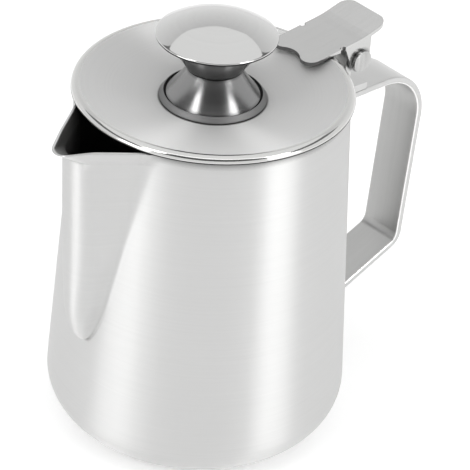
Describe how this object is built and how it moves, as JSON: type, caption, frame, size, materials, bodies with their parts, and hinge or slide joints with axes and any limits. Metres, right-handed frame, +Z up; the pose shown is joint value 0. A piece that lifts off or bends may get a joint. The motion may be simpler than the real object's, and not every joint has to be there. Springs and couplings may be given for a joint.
{
  "type": "hot milk jug",
  "caption": "Stainless steel hot milk jug with a tapered body, a long pressed V spout, an open strap handle and a dished lid with a domed knob, hinged at the handle.",
  "frame": {"origin": "middle of the base, on the body's axis", "axes": "+Z up, +X towards the handle and the hinge, -X towards the spout, +Y to the far side"},
  "size_m": [0.1451, 0.0954, 0.1392],
  "materials": {
    "polished_steel": "polished stainless steel with faint spinning lines",
    "satin_steel": "fine satin stainless steel",
    "mirror_steel": "mirror polished stainless steel",
    "fastener_steel": "plain turned stainless steel"
  },
  "bodies": {
    "jug": {"body_shell": "polished_steel", "handle_strap": "satin_steel", "hinge_knuckle": "satin_steel"},
    "lid": {"lid_shell": "satin_steel", "thumb_plate": "satin_steel", "hinge_pin": "polished_steel", "knob_base_ring": "mirror_steel", "knob_pedestal": "mirror_steel", "knob_underside": "mirror_steel", "knob_cap": "mirror_steel", "knob_stud": "fastener_steel", "knob_washer": "fastener_steel", "knob_nut": "fastener_steel"}
  },
  "joints": [
    {"name": "lid_hinge", "type": "hinge", "parent": "jug", "child": "lid", "pos_m": [0.052, 0, 0.112], "axis": [0, 1, 0], "range_deg": [0, 95]}
  ]
}
